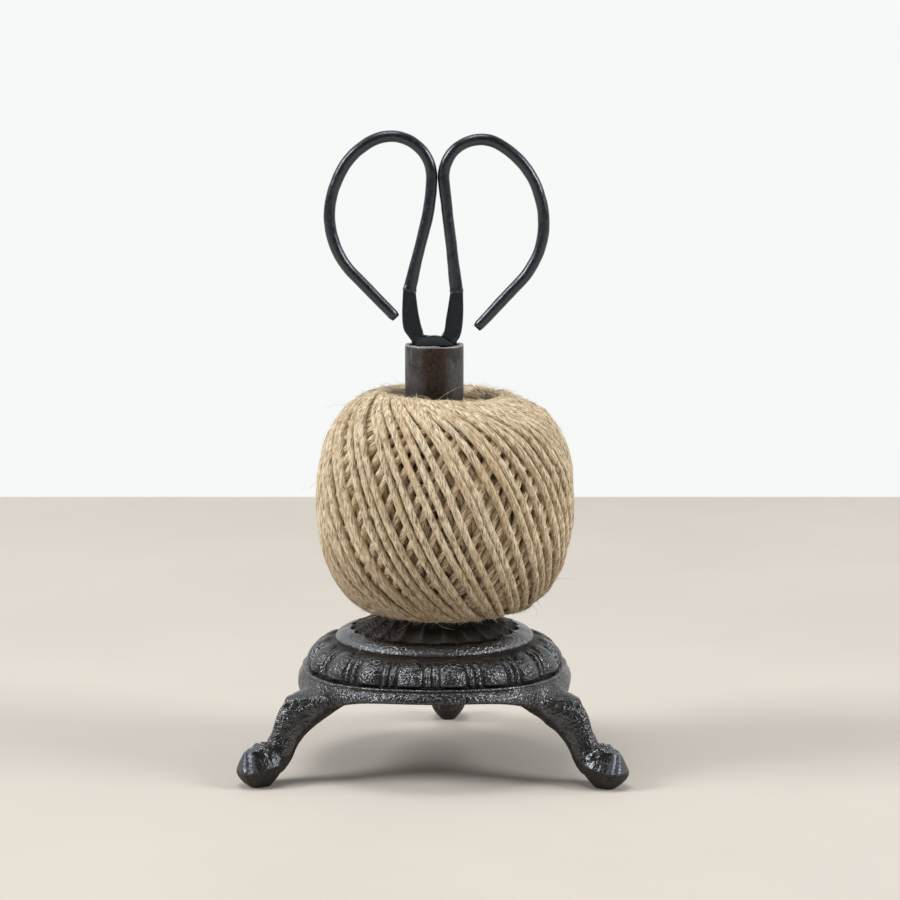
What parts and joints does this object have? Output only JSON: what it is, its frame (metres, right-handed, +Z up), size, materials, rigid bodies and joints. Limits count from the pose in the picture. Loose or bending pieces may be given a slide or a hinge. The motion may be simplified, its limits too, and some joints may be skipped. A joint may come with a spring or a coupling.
{
  "type": "string holder",
  "caption": "Cast-iron tripod stand with a steel tube that carries a turning ball of jute twine and stores a pair of bow-handled scissors.",
  "frame": {"origin": "centre of the footprint, on the surface that the feet stand on", "axes": "+Z up along the tube, +X to the viewer's right in the picture, -Y towards the viewer"},
  "size_m": [0.1396, 0.1295, 0.2328],
  "materials": {
    "cast_iron": "dark brown-black waxed sand casting",
    "tube_steel": "dull, lightly rusted",
    "screw_steel": "zinc plated",
    "jute": "hairy natural twine",
    "blued_steel": "forged, blue-black oxide"
  },
  "bodies": {
    "stand": {"base_casting": "cast_iron", "spindle_tube": "tube_steel", "tube_plug": "tube_steel", "fixing_screw": "screw_steel", "screw_washer": "screw_steel"},
    "twine_ball": {"twine_core": "jute", "twine_winding": "jute"},
    "scissors_pivot": {"scissors_rivet": "blued_steel", "scissors_washers": "tube_steel"},
    "left_half": {"scissors_left_blade": "blued_steel", "scissors_left_bow": "blued_steel"},
    "right_half": {"scissors_right_blade": "blued_steel", "scissors_right_bow": "blued_steel"}
  },
  "joints": [
    {"name": "ball_spin", "type": "hinge", "parent": "stand", "child": "twine_ball", "pos_m": [0, -0.01365, 0.0987], "axis": [0, 0, 1], "continuous": true},
    {"name": "scissors_lift", "type": "slide", "parent": "stand", "child": "scissors_pivot", "axis": [0, 0, 1], "range_m": [0, 0.1]},
    {"name": "left_open", "type": "hinge", "parent": "scissors_pivot", "child": "left_half", "pos_m": [0, -0.01365, 0.15], "axis": [0, -1, 0], "range_deg": [0, 4.5]},
    {"name": "right_open", "type": "hinge", "parent": "scissors_pivot", "child": "right_half", "pos_m": [0, -0.01365, 0.15], "axis": [0, -1, 0], "range_deg": [-4.5, 0]}
  ],
  "couplings": [
    {"joint": "right_open", "follows": "left_open", "ratio": -1}
  ]
}
